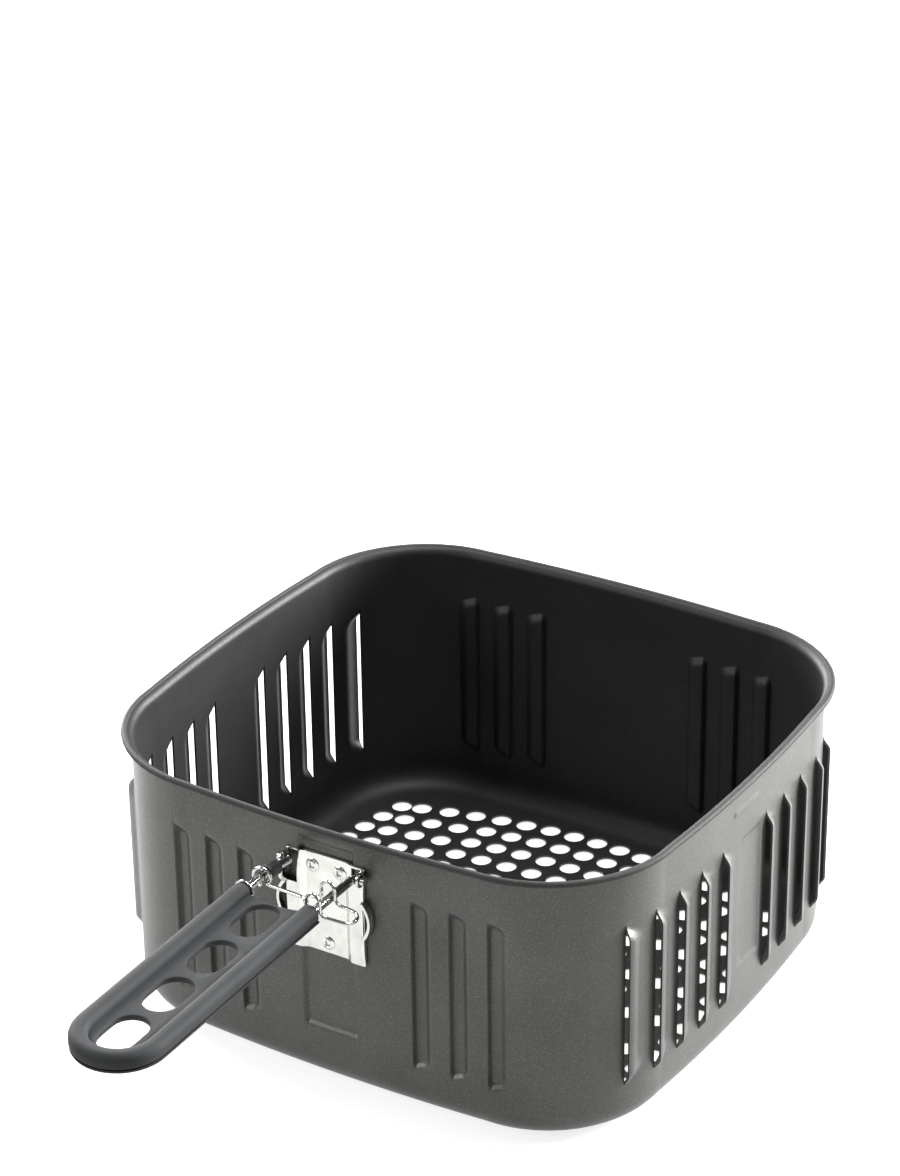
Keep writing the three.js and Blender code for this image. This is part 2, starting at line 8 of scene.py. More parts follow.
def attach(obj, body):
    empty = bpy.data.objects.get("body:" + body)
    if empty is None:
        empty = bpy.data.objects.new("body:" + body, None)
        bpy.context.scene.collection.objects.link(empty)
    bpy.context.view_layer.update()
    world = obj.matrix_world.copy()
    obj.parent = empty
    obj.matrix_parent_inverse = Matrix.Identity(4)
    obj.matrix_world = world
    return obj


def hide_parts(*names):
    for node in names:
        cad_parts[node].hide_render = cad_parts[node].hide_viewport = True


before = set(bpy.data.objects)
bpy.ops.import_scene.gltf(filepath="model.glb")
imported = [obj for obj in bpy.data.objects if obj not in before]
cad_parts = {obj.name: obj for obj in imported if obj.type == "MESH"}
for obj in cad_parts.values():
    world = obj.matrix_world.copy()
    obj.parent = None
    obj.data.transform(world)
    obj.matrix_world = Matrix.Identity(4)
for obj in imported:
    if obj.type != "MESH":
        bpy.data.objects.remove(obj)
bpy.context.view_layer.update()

bl_info = {
    "name": "Air Fryer Basket",
    "version": (1, 0, 0),
    "blender": (4, 5, 0),
    "location": "View3D > Sidebar > Basket",
    "description": "Builds a louvred air fryer basket with a wire handle",
    "category": "Object",
}

MM = 0.001

# Drawn steel basket, in millimetres. The walls bow out at their middles.
HALF_X, HALF_Y = 106.4, 101.9
CORNER_R = 45.4
WALL_BOW = 2.2
BASKET_H = 105.4
FLOOR_R, FLOOR_R_STEPS = 10.0, 8
PRESS_TOP, ROLL_START = 98.5, 100.2
ROLL_Z, ROLL_R, ROLL_TURN, ROLL_STEPS = 101.8, 2.4, 75.0, 7
BEAD_R, BEAD_OUT, BEAD_SIDES = 1.15, 2.45, 14

# Louvres of the side walls: cut at one edge, with hooded ends.
LOUVRE_FIRST, LOUVRE_PITCH, LOUVRE_COUNT = 16.1, 14.5, 5
LOUVRE_STARTS = [side * (LOUVRE_FIRST + LOUVRE_PITCH * k) for k in range(LOUVRE_COUNT) for side in (-1, 1)]
LOUVRE_W, LOUVRE_Z = 8.4, (18.2, 81.6)
LOUVRE_SLANT, LOUVRE_END, LOUVRE_CROWN = 0.55, 4.4, 1.15
LEFT_WALL_LIFT = 1.15

# Ribs pressed into the front and back walls: a sharp left edge, and a long run out on the right.
RIB_STARTS = (-65.6, -51.6, -37.6, 32.6, 47.1, 61.6)
RIB_W, RIB_Z, RIB_DEPTH = 7.9, (17.6, 85.5), 1.8
RIB_SLANT, RIB_END, RIB_EDGE, RIB_RUN_OUT = 0.3, 2.8, 0.9, 2.1

# Flat seat behind the bracket, flat panel between the right wall's louvres, and the fill mark.
SEAT_HALF, SEAT_Z, SEAT_DEPTH, SEAT_SLOPE = 11.3, (22.0, 98.0), 1.2, 1.5
PANEL_S, PANEL_Z, PANEL_DEPTH = (-3.2, 12.4), (28.0, 81.0), 0.45
MARK_S, MARK_Z, MARK_RISE = (-9.0, 9.0), (91.6, 94.0), 0.35

# Columns and rows of the sheet's grid: distances from the edges of the pressed features, and heights.
PLAIN_COLUMNS = 34
LOUVRE_GRID = (-1.6, -0.7, 0.7, 1.6, 2.8, 4.0, 5.2, 6.4, 7.6, 8.8, 9.8, 11.0)
RIB_GRID = (-0.9, -0.1, 0.1, 0.3, 0.5, 0.8, 1.4, 2.6, 3.8, 4.5, 5.2, 5.9, 6.6, 7.3, 7.9, 8.8)
SEAT_GRID = (0.4, 0.0, -0.3, -0.6, -0.9, -1.2, -1.5, -2.0)
PANEL_GRID = (-9.2, -8.6, -8.2, -3.2, -2.8, -2.3, -1.8, 8.2, 8.6, 9.2, 11.0, 11.5, 12.0, 12.4)
END_GRID = (-1, 0, 0.4, 0.9, 1.5, 2.2, 3.0, 4.0, 5.2, 6.6, 8.2)
LEVELS_LOW = (12.5, 15.0, 22.0, 22.7, 23.5, 28.0, 28.8, 29.6, *range(32, 68, 5))
LEVELS_HIGH = (81.0, 90.2, 91.6, 91.95, 92.3, 93.3, 93.65, 94.0, 95.5, 96.2, 97.0)
CUT_CLEAR, COLUMN_MIN, ROW_MIN = 0.45, 0.19, 0.45

# Holes of the floor: columns that shorten and pinch towards the sides, and one bowed column at each side.
HOLE_PITCH, HOLE_COLUMNS, HOLE_SIDES = 11.2, 7, 20
HOLE_REACH, HOLE_REACH_LOSS = 85.3, 11.8
HOLE_PINCH, HOLE_PINCH_Y = 0.085, 80.0
SIDE_HOLES_X, SIDE_HOLES_BOW, SIDE_HOLES_BOW_Y, SIDE_HOLES_Y = 89.5, 9.5, 73.0, 71.0

# Plated bracket and its rivets, in millimetres.
PLATE_T = 1.0
SEAT_Y = -HALF_Y + SEAT_DEPTH
PLATE_FACE_Y = SEAT_Y - 0.3 - PLATE_T
BRACKET_BACK_Y = -HALF_Y - 0.3
BRACKET_Z = (54.6, 93.0)
BRACKET_FLAT, BRACKET_CREST_X, BRACKET_HALF = 7.9, 10.2, 15.7
BRACKET_CREST_Y, BRACKET_BEND = -104.6, 1.1
SLOT_LEFT, SLOT_RIGHT, SLOT_TOP = 80.5, 87.6, 92.3
SLOT_INNER_X, SLOT_WEB = 10.6, 0.5
STRAP_Z, STRAP_OUT, STRAP_T, STRAP_STEPS, STRAP_LIP = (66.0, 80.0), 3.0, 1.0, 18, 0.6
STRAP_Y = (BRACKET_CREST_Y - 0.3, BRACKET_CREST_Y + 2.2)
EAR_HOLE_R, EAR_SIDES, EAR_STEP = 1.95, 40, 0.04
EARS = ((-1, "left", 3.1, -107.8, (80.4, 92.6)), (1, "right", 2.4, -106.7, (86.8, 92.4)))
RIVETS = ((-5.5, 88.0), (5.5, 88.0), (0.0, 58.5))

# Wire handle, grip, fittings and clip, in millimetres.
WIRE_R, WIRE_BEND = 1.6, 3.6
HOOK_Y, HOOK_Z, HOOK_X, HOOK_TIP = -104.45, 89.6, 12.7, 17.4
ROD_X, ROD_Z, ROD_RISE_Y = 13.7, 90.8, -120.0
GRIP_Y = (-131.4, -235.5)
GRIP_DROOP = math.radians(1.15)
GRIP_HALF, RAIL_W, GRIP_T, COVER_T, COVER_GAP = 16.8, 6.4, 6.8, 1.35, 0.12
WEB_RISE, WEB_T = 0.3, 2.2
FINGER_HOLES = [-144.6 - 24.4 * k for k in range(4)]
FINGER_R, FINGER_STRAIGHT = 6.5, 3.5
BUSH_ENDS = ((-13.2, -111.9, 90.2), (-13.6, -118.2, 90.66))
CLIP_R, CLIP_BEND, COIL_R, COIL_Y, COIL_LENGTH = 0.65, 2.6, 3.05, -121.3, 1.9
COIL_TURN, COIL_START, COIL_STEPS = 0.93, -0.35, 40
ARCH_Y, ARCH_HALF, ARCH_TOP = (-130.3, -121.4), 2.65, 6.2
TAB_X, CROSS_WIRE_Y = 27.0, -122.6

# Studio, in metres: camera axes and place, and each light's place, size and share of the side power.
CAMERA_PLACE = (0.580176, -0.953574, 0.718785)
CAMERA_RIGHT = Vector((0.85088, 0.52518, -0.01365))
CAMERA_UP = Vector((-0.23409, 0.40226, 0.88509))
CAMERA_AHEAD = Vector((-0.47032, 0.74992, -0.46521))
CAMERA_LENS, CAMERA_SHIFT = 109.25, (0.0101, 0.0377)
SIDE_PANELS = {
    "right_panel": ((1.0, 1.25, 0.6), 0.8, 1.0),
    "left_panel": ((-1.1, 0.5, 0.5), 0.8, 0.32),
    "front_panel": ((-0.9, -0.9, 0.7), 0.6, 0.08),
}
TOP_PANEL_PLACE, TOP_PANEL_SIZE = (0.15, 0.2, 1.4), 0.7
PANEL_TARGET = Vector((0.0, 0.0, 0.05))
TABLE_HALF, TABLE_Z = 4.0, -0.0006


# ---------------------------------------------------------------- node trees

def linear(hex_code):
    """sRGB hex to a linear colour with alpha."""
    parts = [int(hex_code[i:i + 2], 16) / 255 for i in (1, 3, 5)]
    return [c / 12.92 if c <= 0.04045 else ((c + 0.055) / 1.055) ** 2.4 for c in parts] + [1.0]


def shades(colour, lift):
    """A colour and a lighter shade of it, both with alpha."""
    return [*colour, 1.0], [min(c * lift, 1.0) for c in colour] + [1.0]


def gray(value):
    """A neutral colour, to carry a plain number."""
    return [value, value, value, 1.0]


def add_node(tree, kind, settings=None, inputs=None, links=None, stops=None):
    """Adds a node, sets its properties, input values and colour stops, and links its inputs."""
    node = tree.nodes.new(kind)
    for key, value in (settings or {}).items():
        setattr(node, key, value)
    for key, value in (inputs or {}).items():
        node.inputs[key].default_value = value
    for key, source in (links or {}).items():
        tree.links.new(source, node.inputs[key])
    if stops:
        for element, (position, colour) in zip(node.color_ramp.elements, stops):
            element.position = position
            element.color = colour
    return node


def new_material(name, values):
    """A material with a principled shader; values are set on the shader's own sockets."""
    material = bpy.data.materials.new(name)
    material.use_nodes = True
    tree = material.node_tree
    tree.nodes.clear()
    shader = add_node(tree, "ShaderNodeBsdfPrincipled", inputs=values)
    add_node(tree, "ShaderNodeOutputMaterial", links={"Surface": shader.outputs[0]})
    place = add_node(tree, "ShaderNodeTexCoord")
    return material, tree, shader, place.outputs["Object"]


def link_finish(tree, shader, colour, roughness, relief=None):
    """Links a finish's colour, roughness and relief nodes to its shader."""
    tree.links.new(colour, shader.inputs["Base Color"])
    tree.links.new(roughness, shader.inputs["Roughness"])
    if relief:
        tree.links.new(relief, shader.inputs["Normal"])


def coated_steel(name, colour, lift, roughness, metallic, grit, shine):
    """Sprayed and baked non-stick coating on drawn steel: satin, with fine pale grit."""
    values = {"Metallic": metallic, "IOR": 1.5, "Specular IOR Level": shine}
    material, tree, shader, place = new_material(name, values)
    dark, light = shades(colour, lift)
    # the spray leaves a grain of about 0.5 mm, and faint clouds of about 26 mm
    grain = add_node(tree, "ShaderNodeTexNoise", inputs={"Scale": 1900.0, "Detail": 3.0},
                     links={"Vector": place})
    cloud = add_node(tree, "ShaderNodeTexNoise", inputs={"Scale": 38.0, "Detail": 4.0},
                     links={"Vector": place})
    base = add_node(tree, "ShaderNodeValToRGB", links={"Fac": cloud.outputs["Fac"]},
                    stops=[(0.3, dark), (0.7, light)])
    # pale mineral grit in the coating, one grain in every 0.7 mm
    cells = add_node(tree, "ShaderNodeTexVoronoi", inputs={"Scale": 1350.0, "Randomness": 1.0},
                     links={"Vector": place})
    spots = add_node(tree, "ShaderNodeValToRGB", links={"Fac": cells.outputs["Distance"]},
                     stops=[(0.0, gray(grit)), (0.3, gray(0.0))])
    mixed = add_node(tree, "ShaderNodeMix", {"data_type": "RGBA"}, {"B": linear("#a9a9a5")},
                     {"Factor": spots.outputs["Color"], "A": base.outputs["Color"]})
    matt = add_node(tree, "ShaderNodeValToRGB", links={"Fac": grain.outputs["Fac"]},
                    stops=[(0.3, gray(roughness - 0.05)), (0.7, gray(roughness + 0.07))])
    bump = add_node(tree, "ShaderNodeBump", inputs={"Strength": 0.25, "Distance": 0.00006},
                    links={"Height": grain.outputs["Fac"]})
    link_finish(tree, shader, mixed.outputs["Result"], matt.outputs["Color"], bump.outputs[0])
    return material


def bright_plate(name, colour, lift, roughness):
    """Polished nickel or chrome plate: mirror-like, with a haze of handling marks."""
    material, tree, shader, place = new_material(name, {"Metallic": 1.0})
    dark, light = shades(colour, lift)
    # handling marks of about 7 mm
    haze = add_node(tree, "ShaderNodeTexNoise", inputs={"Scale": 140.0, "Detail": 5.0},
                    links={"Vector": place})
    tint = add_node(tree, "ShaderNodeValToRGB", links={"Fac": haze.outputs["Fac"]},
                    stops=[(0.35, dark), (0.65, light)])
    matt = add_node(tree, "ShaderNodeValToRGB", links={"Fac": haze.outputs["Fac"]},
                    stops=[(0.3, gray(roughness)), (0.75, gray(roughness + 0.09))])
    # drawing marks of about 0.4 mm
    marks = add_node(tree, "ShaderNodeTexNoise", inputs={"Scale": 2400.0, "Detail": 1.0},
                     links={"Vector": place})
    bump = add_node(tree, "ShaderNodeBump", inputs={"Strength": 0.06, "Distance": 0.00002},
                    links={"Height": marks.outputs["Fac"]})
    link_finish(tree, shader, tint.outputs["Color"], matt.outputs["Color"], bump.outputs[0])
    return material


def moulded_nylon(name, colour, lift):
    """Glass-filled nylon moulding: matt, from a spark-eroded mould with a grain of about 0.4 mm."""
    material, tree, shader, place = new_material(name, {"IOR": 1.46, "Specular IOR Level": 0.2})
    dark, light = shades(colour, lift)
    grain = add_node(tree, "ShaderNodeTexNoise", inputs={"Scale": 2300.0, "Detail": 2.0},
                     links={"Vector": place})
    cloud = add_node(tree, "ShaderNodeTexNoise", inputs={"Scale": 60.0, "Detail": 3.0},
                     links={"Vector": place})
    tint = add_node(tree, "ShaderNodeValToRGB", links={"Fac": cloud.outputs["Fac"]},
                    stops=[(0.3, dark), (0.7, light)])
    matt = add_node(tree, "ShaderNodeValToRGB", links={"Fac": grain.outputs["Fac"]},
                    stops=[(0.3, gray(0.68)), (0.7, gray(0.8))])
    bump = add_node(tree, "ShaderNodeBump", inputs={"Strength": 0.3, "Distance": 0.00008},
                    links={"Height": grain.outputs["Fac"]})
    link_finish(tree, shader, tint.outputs["Color"], matt.outputs["Color"], bump.outputs[0])
    return material


def black_rubber(name):
    """Moulded silicone rubber: dark and matt, with dust in specks of about 1 mm."""
    material, tree, shader, place = new_material(name, {"IOR": 1.42})
    dust = add_node(tree, "ShaderNodeTexNoise", inputs={"Scale": 900.0, "Detail": 4.0},
                    links={"Vector": place})
    tint = add_node(tree, "ShaderNodeValToRGB", links={"Fac": dust.outputs["Fac"]},
                    stops=[(0.4, linear("#151516")), (0.75, linear("#2c2c2e"))])
    matt = add_node(tree, "ShaderNodeValToRGB", links={"Fac": dust.outputs["Fac"]},
                    stops=[(0.3, gray(0.5)), (0.7, gray(0.65))])
    link_finish(tree, shader, tint.outputs["Color"], matt.outputs["Color"])
    return material


def studio_table(name):
    """Pale seamless studio table, lit from below so that it stays white."""
    values = {"Roughness": 0.7, "Emission Color": linear("#ffffff"), "Emission Strength": 0.8}
    material, tree, shader, place = new_material(name, values)
    cloud = add_node(tree, "ShaderNodeTexNoise", inputs={"Scale": 3.0, "Detail": 2.0},
                     links={"Vector": place})
    tint = add_node(tree, "ShaderNodeValToRGB", links={"Fac": cloud.outputs["Fac"]},
                    stops=[(0.3, linear("#8c8c8b")), (0.7, linear("#929291"))])
    tree.links.new(tint.outputs["Color"], shader.inputs["Base Color"])
    return material


MATERIALS = {}


def finishes(context):
    """All finishes of the basket, made once."""
    if not MATERIALS:
        colours = context.scene.basket_colours
        rim = linear("#292928")[:3]
        chrome = linear("#a9a9a8")[:3]
        MATERIALS.update(
            outside=coated_steel("nonstick_coating_outside", colours.outside, 1.41, 0.38, 0.3, 0.3, 0.5),
            inside=coated_steel("nonstick_coating_inside", colours.inside, 1.39, 0.52, 0.0, 0.06, 0.25),
            rim=coated_steel("nonstick_coating_rim", rim, 1.38, 0.62, 0.0, 0.15, 0.15),
            nickel=bright_plate("bright_nickel_plate", colours.plating, 1.188, 0.13),
            chrome=bright_plate("chromed_spring_wire", chrome, 1.267, 0.08),
            nylon=moulded_nylon("moulded_nylon_grip", colours.grip, 1.31),
            rubber=black_rubber("black_silicone_rubber"),
        )
    return MATERIALS


# ---------------------------------------------------------------- mesh tools

def link_object(name, mesh):
    """Puts a mesh in the scene as an object at the origin."""
    thing = bpy.data.objects.new(name, mesh)
    bpy.context.collection.objects.link(thing)
    return thing


def new_piece(name, points, faces, material, scale=MM):
    """Mesh object at the origin, in one material; points in millimetres."""
    mesh = bpy.data.meshes.new(name)
    mesh.from_pydata([[c * scale for c in p] for p in points], [], faces)
    mesh.validate()
    mesh.materials.append(material)
    return link_object(name, mesh)


def bake_modifiers(piece):
    """Turns the modifiers of a piece into plain geometry."""
    bpy.context.view_layer.update()
    evaluated = piece.evaluated_get(bpy.context.evaluated_depsgraph_get())
    mesh = bpy.data.meshes.new_from_object(evaluated)
    old = piece.data
    piece.modifiers.clear()
    piece.data = mesh
    mesh.name = piece.name
    bpy.data.meshes.remove(old)


def add_modifier(piece, kind, **settings):
    """Adds a modifier with its settings."""
    modifier = piece.modifiers.new(kind.title(), kind)
    for key, value in settings.items():
        setattr(modifier, key, value)


def add_bevel(piece, width, segments, degrees):
    """Adds a bevel on the edges sharper than an angle."""
    add_modifier(piece, "BEVEL", width=width, segments=segments, limit_method="ANGLE",
                 angle_limit=math.radians(degrees))


def soften(piece, degrees, outward=False):
    """Welds doubles and shades smooth, keeping edges above an angle sharp."""
    bm = bmesh.new()
    bm.from_mesh(piece.data)
    bmesh.ops.remove_doubles(bm, verts=bm.verts, dist=1e-6)
    if outward:
        bmesh.ops.recalc_face_normals(bm, faces=bm.faces)
    limit = math.radians(degrees)
    for face in bm.faces:
        face.smooth = True
    for edge in bm.edges:
        edge.smooth = edge.is_manifold and edge.calc_face_angle(0.0) < limit
    bm.to_mesh(piece.data)
    bm.free()


def loft(rings, count, closed=False, capped=False):
    """Faces over rings of count points each; closed joins the last ring to the first."""
    faces = []
    for i in range(rings if closed else rings - 1):
        here, there = i * count, (i + 1) % rings * count
        for k in range(count):
            after = (k + 1) % count
            faces.append((here + k, here + after, there + after, there + k))
    if capped:
        faces.append(tuple(range(count)))
        faces.append(tuple((rings - 1) * count + k for k in range(count)))
    return faces


def tube(path, radius, sides):
    """Closed round tube along a path: points and faces."""
    points = []
    side = None
    for i, p in enumerate(path):
        along = (path[min(i + 1, len(path) - 1)] - path[max(i - 1, 0)]).normalized()
        if side is None:
            side = Vector((0, 0, 1)) if abs(along.z) < 0.9 else Vector((1, 0, 0))
        side = (side - along * side.dot(along)).normalized()
        up = along.cross(side)
        for k in range(sides):
            a = math.tau * k / sides
            points.append(p + side * (radius * math.cos(a)) + up * (radius * math.sin(a)))
    return points, loft(len(path), sides, capped=True)


def round_corners(corners, bend, steps=8):
    """Path through the corners with each inner corner rounded."""
    path = [corners[0]]
    for before, corner, after in zip(corners, corners[1:], corners[2:]):
        reach = min(bend, (before - corner).length * 0.49, (after - corner).length * 0.49)
        start = corner + (before - corner).normalized() * reach
        end = corner + (after - corner).normalized() * reach
        for k in range(steps + 1):
            t = k / steps
            path.append(start.lerp(corner, t).lerp(corner.lerp(end, t), t))
    path.append(corners[-1])
    return path


def revolve(profile, sides, base, lean=Vector((0, 1, 0))):
    """Turned solid from (radius, distance along) points, on an axis from a base point."""
    across = (Vector((1, 0, 0)) - lean * lean.x).normalized()
    up = lean.cross(across)
    points = []
    for r, along in profile:
        for k in range(sides):
            a = math.tau * k / sides
            points.append(base + lean * along + across * (r * math.cos(a)) + up * (r * math.sin(a)))
    return points, loft(len(profile), sides)


def node_group(name, inputs):
    """Geometry node tree with named inputs: the tree, its input node and the inputs' identifiers."""
    tree = bpy.data.node_groups.new(name, "GeometryNodeTree")
    sockets = tree.interface
    sockets.new_socket("Geometry", in_out="INPUT", socket_type="NodeSocketGeometry")
    names = {}
    for label, kind in inputs.items():
        names[label] = sockets.new_socket(label, in_out="INPUT", socket_type="NodeSocket" + kind).identifier
    sockets.new_socket("Geometry", in_out="OUTPUT", socket_type="NodeSocketGeometry")
    return tree, add_node(tree, "NodeGroupInput"), names


def end_group(tree, geometry, material):
    """Ends a tree: instances made real, then the material set."""
    real = add_node(tree, "GeometryNodeRealizeInstances", links={"Geometry": geometry})
    coat = add_node(tree, "GeometryNodeSetMaterial",
                    links={"Geometry": real.outputs[0], "Material": material})
    add_node(tree, "NodeGroupOutput", links={0: coat.outputs[0]})


def run_group(piece, tree, names, values):
    """Runs a tree on a piece with the given inputs, and keeps the result as plain geometry."""
    modifier = piece.modifiers.new(tree.name, "NODES")
    modifier.node_group = tree
    for label, value in values.items():
        modifier[names[label]] = value
    bake_modifiers(piece)


# ---------------------------------------------------------------- basket

def wall_point(wall, s, inset, z):
    """Point on wall 0 right, 1 back, 2 left or 3 front, s along it, moved inward."""
    half, run = wall_run(wall)
    if abs(s) <= run:
        u, v = half - inset - WALL_BOW * (s / run) ** 2, s
    else:
        turn = (abs(s) - run) / CORNER_R
        r = CORNER_R - inset
        u = half - WALL_BOW - CORNER_R + r * math.cos(turn)
        v = math.copysign(run + r * math.sin(turn), s)
    face = wall * math.pi / 2
    return Vector((u * math.cos(face) - v * math.sin(face), u * math.sin(face) + v * math.cos(face), z))


def wall_run(wall):
    """Distance of a wall from the middle, and half the length between its corners."""
    half, other = (HALF_X, HALF_Y) if wall % 2 == 0 else (HALF_Y, HALF_X)
    return half, other - WALL_BOW - CORNER_R


def ease(t):
    """Smooth step from 0 to 1."""
    t = min(max(t, 0.0), 1.0)
    return t * t * (3 - 2 * t)


def band(value, ends, slope):
    """1 between two ends, easing to 0 over a slope inside each of them."""
    return ease((value - ends[0]) / slope) * ease((ends[1] - value) / slope)


def dome(z, low, high, reach):
    """1 between two ends, falling to 0 over the reach like the end of a pressed hood."""
    near = min(max(min(z - low, high - z) / reach, 0.0), 1.0)
    return math.sqrt(1 - (1 - near) ** 2) * (0.35 + 0.65 * ease(near))


def wall_relief(wall, s, side, z, lift):
    """How far the sheet is pressed out of the wall at (s, z); side picks a lip or its flush edge."""
    out = 0.0
    if wall % 2 == 0:
        if wall == 2:
            lift *= LEFT_WALL_LIFT
        for start in LOUVRE_STARTS:
            t = s - start
            if 0 <= t < LOUVRE_W and not (t < 1e-6 and side < 0):
                across = 0.5 + 0.5 * math.cos(math.pi * (t / LOUVRE_W) ** LOUVRE_CROWN)
                slant = LOUVRE_SLANT * t
                out += lift * across * dome(z, LOUVRE_Z[0] + slant, LOUVRE_Z[1] - slant, LOUVRE_END)
        if wall == 0:
            out -= PANEL_DEPTH * band(s, PANEL_S, 1.4) * band(z, PANEL_Z, 1.6)
            out += MARK_RISE * band(s, MARK_S, 0.8) * band(z, MARK_Z, 0.7)
    else:
        for start in RIB_STARTS:
            t = s - start
            if -0.1 < t < RIB_W:
                slant = RIB_SLANT * max(t, 0.0)
                run_out = 1 - max(t, 0.0) / RIB_W
                across = ease((t + 0.1) / RIB_EDGE) * ease(run_out * RIB_RUN_OUT)
                out -= RIB_DEPTH * across * dome(z, RIB_Z[0] + slant, RIB_Z[1] - slant, RIB_END)
        if wall == 3:
            out -= SEAT_DEPTH * band(s, (-SEAT_HALF, SEAT_HALF), SEAT_SLOPE) * band(z, SEAT_Z, SEAT_SLOPE)
    return out


def wall_columns(wall):
    """Sorted (s, side) columns: fine around every pressed feature, split at each louvre's cut."""
    run = wall_run(wall)[1]
    end = run + CORNER_R * math.pi / 4
    stops = {-end, end, -run, run}
    stops.update(-end + 2 * end * k / PLAIN_COLUMNS for k in range(PLAIN_COLUMNS + 1))
    cuts = {round(start, 4) for start in LOUVRE_STARTS} if wall % 2 == 0 else set()
    starts, grid = (LOUVRE_STARTS, LOUVRE_GRID) if cuts else (RIB_STARTS, RIB_GRID)
    stops.update(start + d for start in starts for d in grid)
    if wall == 3:
        stops.update(edge * (SEAT_HALF + d) for edge in (-1, 1) for d in SEAT_GRID)
    if wall == 0:
        stops.update(PANEL_GRID)
    columns = [(c, side) for c in cuts for side in (-1, 1)]
    last = -math.inf
    for s in sorted(stops):
        if s - last >= COLUMN_MIN and all(abs(s - c) >= CUT_CLEAR for c in cuts):
            columns.append((s, 1))
            last = s
    return sorted(columns)


def wall_rows():
    """(inset, z) rows from the edge of the floor to the top of the rolled lip."""
    rows = []
    for k in range(FLOOR_R_STEPS + 1):
        a = math.radians(90 * k / FLOOR_R_STEPS)
        rows.append((FLOOR_R - FLOOR_R * math.sin(a), FLOOR_R - FLOOR_R * math.cos(a)))
    levels = {*LEVELS_LOW, *LEVELS_HIGH}
    for low, high in (LOUVRE_Z, RIB_Z):
        for d in END_GRID:
            levels.update((round(low + d, 2), round(high - d, 2)))
    last = FLOOR_R
    for z in sorted(levels):
        if z - last > ROW_MIN:
            rows.append((0.0, z))
            last = z
    rows += [(0.0, PRESS_TOP), (0.0, ROLL_START)]
    for k in range(ROLL_STEPS + 1):
        a = math.radians(ROLL_TURN * k / ROLL_STEPS)
        rows.append((-ROLL_R * (1 - math.cos(a)), ROLL_Z + ROLL_R * math.sin(a)))
    return rows


def wall_sheet(lift):
    """Outer surface of the four walls as points and faces, and the ring at the floor."""
    rows = wall_rows()
    columns = [(wall, s, side) for wall in range(4) for s, side in wall_columns(wall)]
    points, faces, ring = [], [], []
    for wall, s, side in columns:
        for inset, z in rows:
            pressed = inset <= 0 and z < PRESS_TOP
            out = wall_relief(wall, s, side, z, lift) if pressed else 0.0
            points.append(wall_point(wall, s, inset - out, z))
    n, m = len(columns), len(rows)
    for i in range(n):
        j = (i + 1) % n
        across_cut = columns[i][0] == columns[j][0] and abs(columns[i][1] - columns[j][1]) < 1e-6
        if not across_cut:
            faces += [(i * m + k, j * m + k, j * m + k + 1, i * m + k + 1) for k in range(m - 1)]
        if not ring or (points[i * m] - ring[-1]).length > 1e-4:
            ring.append(points[i * m])
    if (ring[0] - ring[-1]).length < 1e-4:
        ring.pop()
    return points, faces, ring


def hole_spots():
    """Centres of the floor's holes, which follow its bowed outline; the very middle has none."""
    spots = []
    for i in range(-HOLE_COLUMNS, HOLE_COLUMNS + 1):
        reach = HOLE_REACH - HOLE_REACH_LOSS * (i / HOLE_COLUMNS) ** 2
        rows = 7 if abs(i) > 4 else 8
        for j in range(-rows, rows + 1):
            y = reach * j / rows
            spots.append((HOLE_PITCH * i * (1 - HOLE_PINCH * (y / HOLE_PINCH_Y) ** 2), y))
    for side in (-1, 1):
        for j in range(-7, 8):
            y = SIDE_HOLES_Y * j / 7
            spots.append((side * (SIDE_HOLES_X - SIDE_HOLES_BOW * (y / SIDE_HOLES_BOW_Y) ** 2), y))
    return [s for s in spots if math.hypot(*s) > 1]


def perforation_tree():
    """A flat sheet bounded by a loop, with a round hole at every loose point."""
    inputs = {"Hole Radius": "Float", "Hole Sides": "Int", "Coating": "Material"}
    tree, start, names = node_group("Perforated floor", inputs)
    layout = start.outputs["Geometry"]
    loop = add_node(tree, "GeometryNodeMeshToCurve", links={"Mesh": layout})
    edges = add_node(tree, "GeometryNodeInputMeshVertexNeighbors")
    loose = add_node(tree, "FunctionNodeCompare", {"data_type": "INT", "operation": "EQUAL"}, {3: 0},
                     {2: edges.outputs["Vertex Count"]})
    spots = add_node(tree, "GeometryNodeMeshToPoints",
                     links={"Mesh": layout, "Selection": loose.outputs[0]})
    circle = add_node(tree, "GeometryNodeCurvePrimitiveCircle",
                      links={"Radius": start.outputs["Hole Radius"],
                             "Resolution": start.outputs["Hole Sides"]})
    holes = add_node(tree, "GeometryNodeInstanceOnPoints",
                     links={"Points": spots.outputs[0], "Instance": circle.outputs["Curve"]})
    punched = add_node(tree, "GeometryNodeRealizeInstances", links={"Geometry": holes.outputs[0]})
    both = add_node(tree, "GeometryNodeJoinGeometry")
    tree.links.new(punched.outputs[0], both.inputs[0])
    tree.links.new(loop.outputs[0], both.inputs[0])
    sheet = add_node(tree, "GeometryNodeFillCurve", {"mode": "TRIANGLES"}, links={"Curve": both.outputs[0]})
    end_group(tree, sheet.outputs[0], start.outputs["Coating"])
    return tree, names


def floor_sheet(ring, radius, coating):
    """The perforated floor, flat, inside the ring; the hole radius is in metres."""
    mesh = bpy.data.meshes.new("floor_layout")
    points = [(p.x * MM, p.y * MM, 0) for p in ring] + [(x * MM, y * MM, 0) for x, y in hole_spots()]
    mesh.from_pydata(points, [(i, (i + 1) % len(ring)) for i in range(len(ring))], [])
    layout = link_object("floor_layout", mesh)
    tree, names = perforation_tree()
    run_group(layout, tree, names, {"Hole Radius": radius, "Hole Sides": HOLE_SIDES, "Coating": coating})
    return layout


